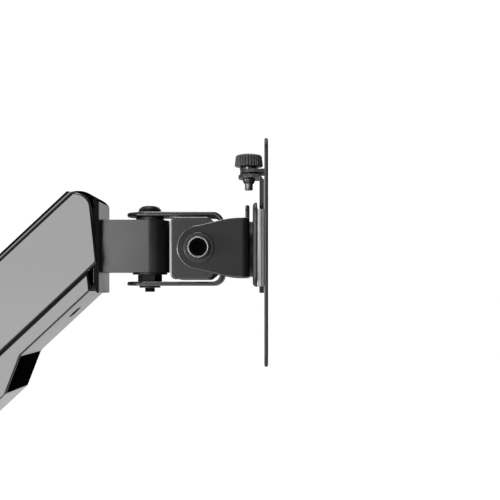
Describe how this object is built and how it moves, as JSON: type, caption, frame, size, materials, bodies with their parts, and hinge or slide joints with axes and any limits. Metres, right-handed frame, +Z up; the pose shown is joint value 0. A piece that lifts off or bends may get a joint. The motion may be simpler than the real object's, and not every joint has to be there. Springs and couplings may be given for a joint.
{
  "type": "monitor arm",
  "caption": "Desk-clamped monitor arm with a gas-sprung parallelogram upper arm and a pan, tilt and rotate head with a slide-off screen plate.",
  "frame": {"origin": "on the desk top under the axis of the post, at the underside of the desk pad", "axes": "+Z up, +X from the post towards the screen, +Y to the left of someone looking along +X"},
  "size_m": [0.6112, 0.1196, 0.5211],
  "materials": {
    "gloss_black": "gloss black paint on cast metal",
    "gloss_cover": "gloss black moulding",
    "cast_grey": "satin dark grey paint",
    "powder_black": "fine matte black powder coat",
    "black_oxide": "black oxide",
    "bright_steel": "bright zinc",
    "black_nylon": "moulded nylon",
    "knob_plastic": "fine moulded texture",
    "rubber": "matte"
  },
  "bodies": {
    "base": {"base_plate": "powder_black", "bracket_screws": "black_oxide", "clamp_bracket": "powder_black", "clamp_nut": "black_oxide", "desk_pad": "rubber", "post": "powder_black", "post_bolt": "black_oxide", "post_collar": "powder_black", "post_screw": "black_oxide", "post_washer": "black_oxide"},
    "clamp_pad": {"clamp_pad": "black_oxide", "clamp_pad_face": "rubber"},
    "clamp_screw": {"clamp_screw": "bright_steel", "clamp_handle": "knob_plastic"},
    "lower_arm": {"lower_arm": "gloss_black", "lower_arm_cover": "gloss_cover", "cable_clips": "black_nylon", "post_bushes": "black_nylon", "elbow_bushes": "black_nylon", "hub_cap": "gloss_cover", "elbow_cap": "gloss_cover"},
    "elbow": {"elbow_knuckle": "cast_grey", "elbow_pin": "bright_steel", "elbow_nut": "black_oxide", "rear_main_pins": "bright_steel", "rear_link_pins": "bright_steel"},
    "tension_nut": {"tension_nut": "black_oxide"},
    "tension_screw": {"tension_screw": "black_oxide"},
    "upper_arm": {"upper_shell": "gloss_black", "lower_shell": "gloss_cover", "shell_screws": "black_oxide", "front_main_pin": "bright_steel", "strut_front_pin": "bright_steel"},
    "parallel_link": {"link_bars": "black_oxide"},
    "gas_cylinder": {"gas_cylinder": "powder_black", "cylinder_gland": "black_nylon"},
    "gas_rod": {"gas_rod": "bright_steel", "rod_pin": "bright_steel"},
    "head_link": {"head_link": "cast_grey", "front_link_pin": "bright_steel", "pan_bush": "black_nylon"},
    "pan_head": {"pan_bracket": "powder_black", "pan_bolt": "black_oxide", "pan_washers": "black_oxide", "pan_nut": "black_oxide"},
    "tilt_head": {"tilt_bracket": "powder_black", "tilt_bolt": "black_oxide", "tilt_nut": "black_oxide", "tilt_washers": "black_oxide", "friction_washers": "black_nylon"},
    "receiver": {"receiver_tray": "powder_black", "receiver_strip": "powder_black", "rotation_washer": "black_oxide", "rotation_rivet": "black_oxide", "thumb_nut": "black_oxide"},
    "screen_plate": {"vesa_plate": "powder_black", "slide_guides": "bright_steel"},
    "thumb_collar": {"thumb_collar": "black_oxide"},
    "thumb_screw": {"thumb_screw": "bright_steel", "thumb_knob": "knob_plastic"}
  },
  "joints": [
    {"name": "clamp_travel", "type": "slide", "parent": "base", "child": "clamp_pad", "axis": [0, 0, 1], "range_m": [-0.055, 0.02]},
    {"name": "clamp_turn", "type": "hinge", "parent": "clamp_pad", "child": "clamp_screw", "pos_m": [0, 0, -0.0363], "axis": [0, 0, 1], "range_deg": [-11319.29, 4119.29]},
    {"name": "arm_swivel", "type": "hinge", "parent": "base", "child": "lower_arm", "pos_m": [0, 0, 0.0965], "axis": [0, 0, 1], "continuous": true},
    {"name": "elbow_swivel", "type": "hinge", "parent": "lower_arm", "child": "elbow", "pos_m": [0.24, 0, 0.0965], "axis": [0, 0, 1], "continuous": true},
    {"name": "tension_travel", "type": "slide", "parent": "elbow", "child": "tension_nut", "axis": [0, 0, -1], "range_m": [0, 0.004]},
    {"name": "tension_turn", "type": "hinge", "parent": "elbow", "child": "tension_screw", "pos_m": [0.252, 0, 0.108], "axis": [0, 0, 1], "range_deg": [0, 1445]},
    {"name": "arm_lift", "type": "hinge", "parent": "elbow", "child": "upper_arm", "pos_m": [0.274, 0, 0.145], "axis": [0, -1, 0], "range_deg": [-78, 2]},
    {"name": "link_lift", "type": "hinge", "parent": "elbow", "child": "parallel_link", "pos_m": [0.274, 0, 0.12], "axis": [0, -1, 0], "range_deg": [-79, 3]},
    {"name": "strut_swing", "type": "hinge", "parent": "upper_arm", "child": "gas_cylinder", "pos_m": [0.41793, 0, 0.27511], "axis": [0, -1, 0], "range_deg": [-0.39, 3.89]},
    {"name": "strut_stroke", "type": "slide", "parent": "gas_cylinder", "child": "gas_rod", "axis": [-0.7138, 0, -0.7004], "range_m": [-0.0197, 0.0008]},
    {"name": "head_level", "type": "hinge", "parent": "upper_arm", "child": "head_link", "pos_m": [0.45684, 0, 0.3155], "axis": [0, -1, 0], "range_deg": [-3, 79]},
    {"name": "head_pan", "type": "hinge", "parent": "head_link", "child": "pan_head", "pos_m": [0.49434, 0, 0.2972], "axis": [0, 0, 1], "range_deg": [-80, 80]},
    {"name": "head_tilt", "type": "hinge", "parent": "pan_head", "child": "tilt_head", "pos_m": [0.52424, 0, 0.2972], "axis": [0, -1, 0], "range_deg": [-45, 75]},
    {"name": "head_rotate", "type": "hinge", "parent": "tilt_head", "child": "receiver", "pos_m": [0.55394, 0, 0.2972], "axis": [1, 0, 0], "continuous": true},
    {"name": "plate_slide", "type": "slide", "parent": "receiver", "child": "screen_plate", "axis": [0, 0, 1], "range_m": [0, 0.02]},
    {"name": "thumb_travel", "type": "slide", "parent": "screen_plate", "child": "thumb_collar", "axis": [0, 0, 1], "range_m": [0, 0.008]},
    {"name": "thumb_turn", "type": "hinge", "parent": "thumb_collar", "child": "thumb_screw", "pos_m": [0.55144, 0, 0.3442], "axis": [0, 0, 1], "range_deg": [0, 3605]}
  ],
  "couplings": [
    {"joint": "clamp_turn", "follows": "clamp_travel", "rad_per_m": 3590.4},
    {"joint": "tension_turn", "follows": "tension_travel", "rad_per_m": 6283.2},
    {"joint": "link_lift", "follows": "arm_lift", "ratio": 1},
    {"joint": "strut_swing", "follows": "arm_lift", "ratio": -0.046},
    {"joint": "strut_stroke", "follows": "arm_lift", "m_per_rad": 0.01425},
    {"joint": "head_level", "follows": "arm_lift", "ratio": -1},
    {"joint": "thumb_turn", "follows": "thumb_travel", "rad_per_m": 7854}
  ]
}
